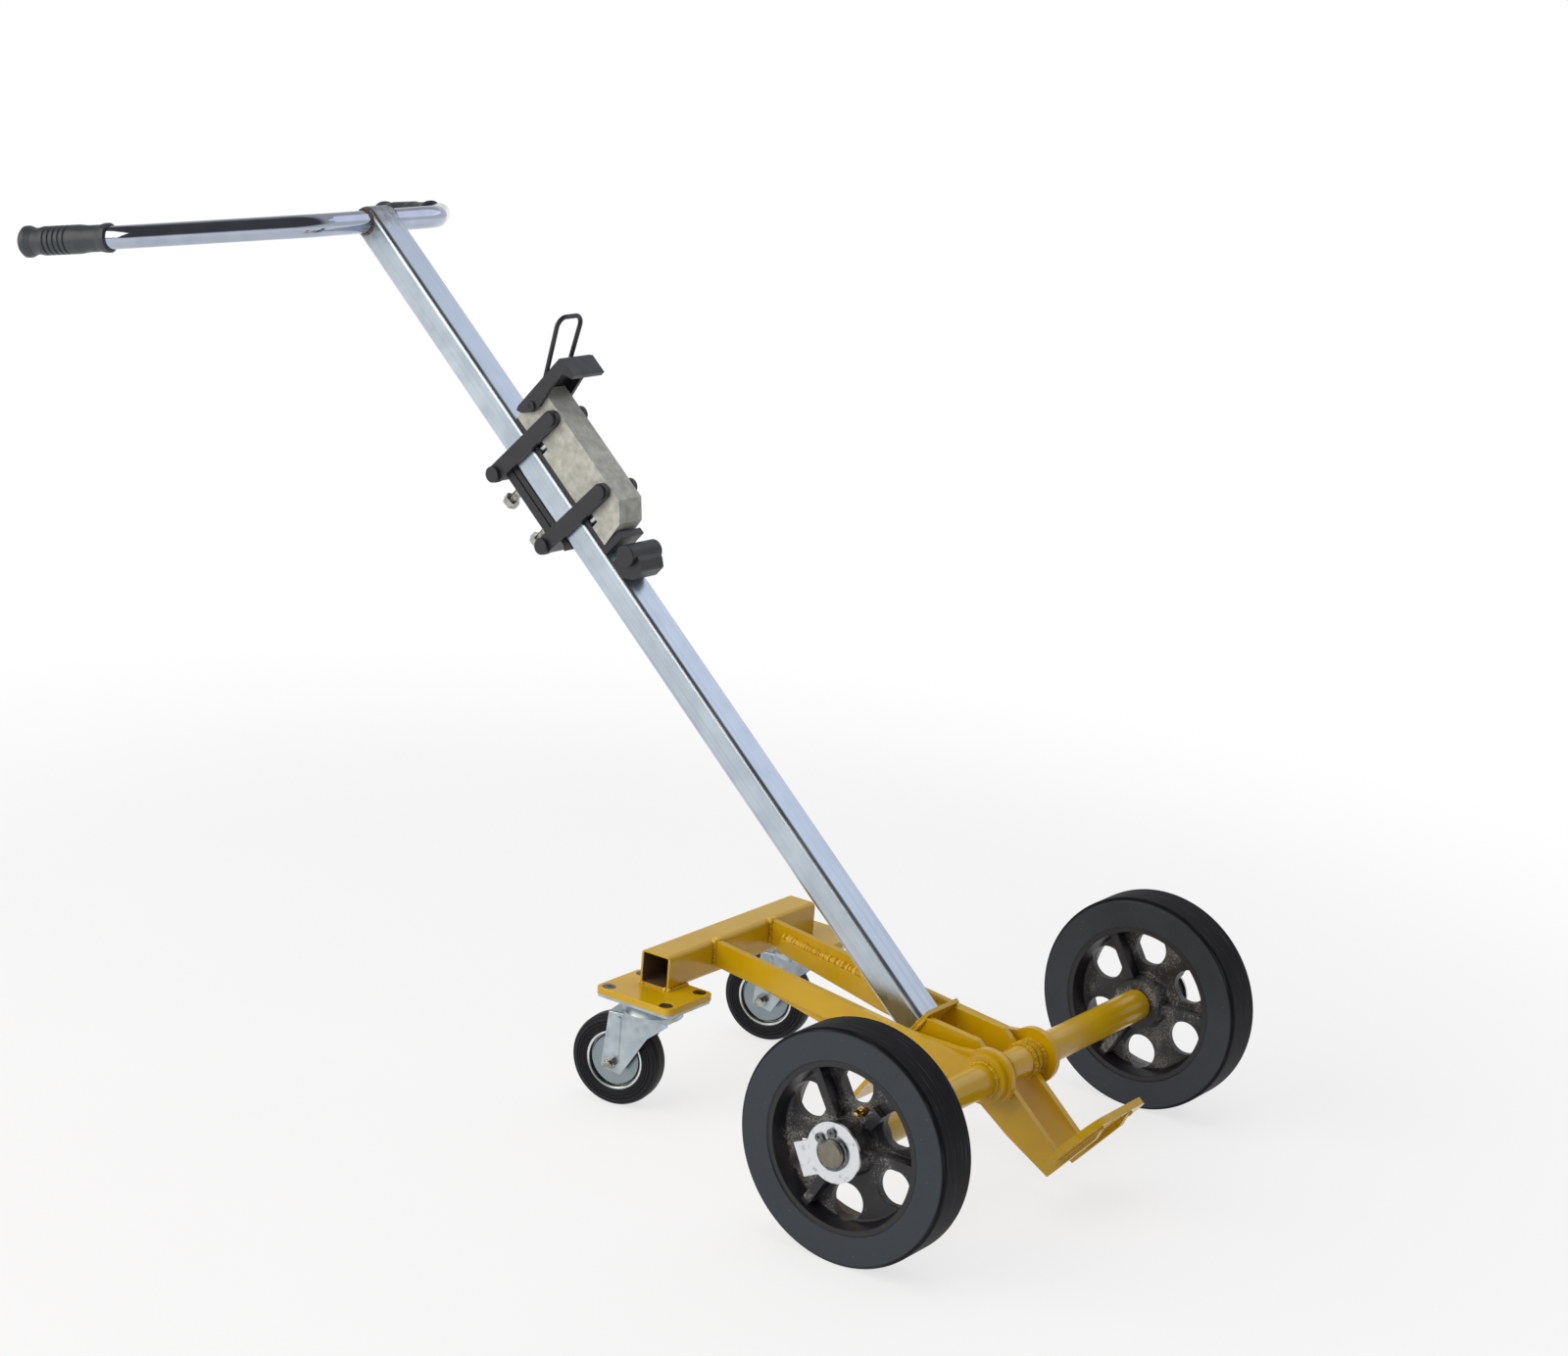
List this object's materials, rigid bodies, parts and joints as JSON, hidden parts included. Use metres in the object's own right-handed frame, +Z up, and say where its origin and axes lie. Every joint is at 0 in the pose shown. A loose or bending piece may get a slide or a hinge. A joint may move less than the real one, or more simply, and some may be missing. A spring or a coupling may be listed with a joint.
{
  "type": "drum trolley",
  "caption": "Wheeled drum trolley with a leaning mast, swept handlebar, sliding rim clamp with a lifting hook, a toe plate, large cast wheels and rear swivel castors.",
  "frame": {"origin": "on the floor under the middle of the overall box", "axes": "+X forward towards the toe plate, +Y to the left as seen from behind the handlebar, +Z up"},
  "size_m": [1.3936, 0.678, 0.9253],
  "materials": {
    "yellow_paint": "gloss golden-yellow paint",
    "axle_steel": "bare turned steel",
    "plated_steel": "bright zinc plating",
    "chrome_tube": "bright chrome",
    "grip_rubber": "matt black",
    "zinc_hardware": "white zinc",
    "zinc_castor": "blue zinc on pressed steel",
    "castor_rubber": "black rubber",
    "cast_centre": "black-painted casting",
    "wheel_rubber": "dark slate-grey rubber",
    "bush_bronze": "sintered bronze",
    "brass": "bright brass",
    "black_steel": "satin black",
    "block_nylon": "mottled cream nylon"
  },
  "bodies": {
    "frame": {"rail": "yellow_paint", "castor_plate_right": "yellow_paint", "castor_plate_left": "yellow_paint", "arm_right": "yellow_paint", "arm_left": "yellow_paint", "cheek_right": "yellow_paint", "cheek_left": "yellow_paint", "axle_tube": "yellow_paint", "axle": "axle_steel", "foot_bracket_right": "yellow_paint", "foot_bracket_left": "yellow_paint", "toe_plate": "yellow_paint", "step_plate": "yellow_paint", "mast": "plated_steel", "handlebar": "chrome_tube", "grip_right": "grip_rubber", "grip_left": "grip_rubber", "tab_washer_right": "zinc_hardware", "tab_washer_left": "zinc_hardware", "retaining_ring_right": "zinc_hardware", "retaining_ring_left": "zinc_hardware", "castor_top_plate_right": "zinc_castor", "castor_top_plate_left": "zinc_castor", "castor_screws": "zinc_hardware", "slide_stop": "black_steel", "stop_bar": "black_steel"},
    "right_wheel": {"wheel_centre_right": "cast_centre", "tyre_right": "wheel_rubber", "wheel_bush_right": "bush_bronze", "grease_nipple_right": "brass"},
    "right_castor": {"castor_fork_right": "zinc_castor", "castor_axle_right": "zinc_hardware"},
    "right_castor_wheel": {"castor_rim_right": "zinc_castor", "castor_tyre_right": "castor_rubber"},
    "left_wheel": {"wheel_centre_left": "cast_centre", "tyre_left": "wheel_rubber", "wheel_bush_left": "bush_bronze", "grease_nipple_left": "brass"},
    "left_castor": {"castor_fork_left": "zinc_castor", "castor_axle_left": "zinc_hardware"},
    "left_castor_wheel": {"castor_rim_left": "zinc_castor", "castor_tyre_left": "castor_rubber"},
    "clamp": {"clamp_block": "block_nylon", "slide_plate": "black_steel", "block_studs": "zinc_hardware", "upper_front_pin": "black_steel", "lower_front_pin": "black_steel", "hook_pin": "black_steel"},
    "upper_links": {"upper_strap_right": "black_steel", "upper_strap_left": "black_steel", "upper_rear_pin": "black_steel"},
    "lower_links": {"lower_strap_right": "black_steel", "lower_strap_left": "black_steel", "lower_rear_pin": "black_steel"},
    "rear_jaw": {"back_bar": "black_steel", "pressure_plate": "black_steel", "grip_bolts": "zinc_hardware"},
    "rim_hook": {"hook": "black_steel", "hook_bail": "black_steel"}
  },
  "joints": [
    {"name": "right_wheel_spin", "type": "hinge", "parent": "frame", "child": "right_wheel", "pos_m": [0.55445, -0.295, 0.125], "axis": [0, 1, 0], "continuous": true},
    {"name": "left_wheel_spin", "type": "hinge", "parent": "frame", "child": "left_wheel", "pos_m": [0.55445, 0.295, 0.125], "axis": [0, 1, 0], "continuous": true},
    {"name": "right_castor_swivel", "type": "hinge", "parent": "frame", "child": "right_castor", "pos_m": [0.17445, -0.142, 0.12], "axis": [0, 0, 1], "continuous": true},
    {"name": "right_castor_spin", "type": "hinge", "parent": "right_castor", "child": "right_castor_wheel", "pos_m": [0.13728, -0.1499, 0.0535], "axis": [0.2079, -0.9781, 0], "continuous": true},
    {"name": "left_castor_swivel", "type": "hinge", "parent": "frame", "child": "left_castor", "pos_m": [0.17445, 0.142, 0.12], "axis": [0, 0, 1], "continuous": true},
    {"name": "left_castor_spin", "type": "hinge", "parent": "left_castor", "child": "left_castor_wheel", "pos_m": [0.13728, 0.1341, 0.0535], "axis": [0.2079, -0.9781, 0], "continuous": true},
    {"name": "clamp_slide", "type": "slide", "parent": "frame", "child": "clamp", "axis": [-0.7466, 0, 0.6652], "range_m": [-0.007, 0.24]},
    {"name": "upper_link_turn", "type": "hinge", "parent": "clamp", "child": "upper_links", "pos_m": [-0.11693, 0, 0.72318], "axis": [0, -1, 0], "range_deg": [0, 6]},
    {"name": "lower_link_turn", "type": "hinge", "parent": "clamp", "child": "lower_links", "pos_m": [-0.03778, 0, 0.65266], "axis": [0, -1, 0], "range_deg": [0, 6]},
    {"name": "rear_jaw_turn", "type": "hinge", "parent": "upper_links", "child": "rear_jaw", "pos_m": [-0.19565, 0, 0.64505], "axis": [0, -1, 0], "range_deg": [-6, 0]},
    {"name": "hook_lift", "type": "hinge", "parent": "clamp", "child": "rim_hook", "pos_m": [-0.14641, 0, 0.73337], "axis": [0, -1, 0], "range_deg": [0, 60]}
  ],
  "couplings": [
    {"joint": "lower_link_turn", "follows": "upper_link_turn", "ratio": 1},
    {"joint": "rear_jaw_turn", "follows": "upper_link_turn", "ratio": -1}
  ]
}
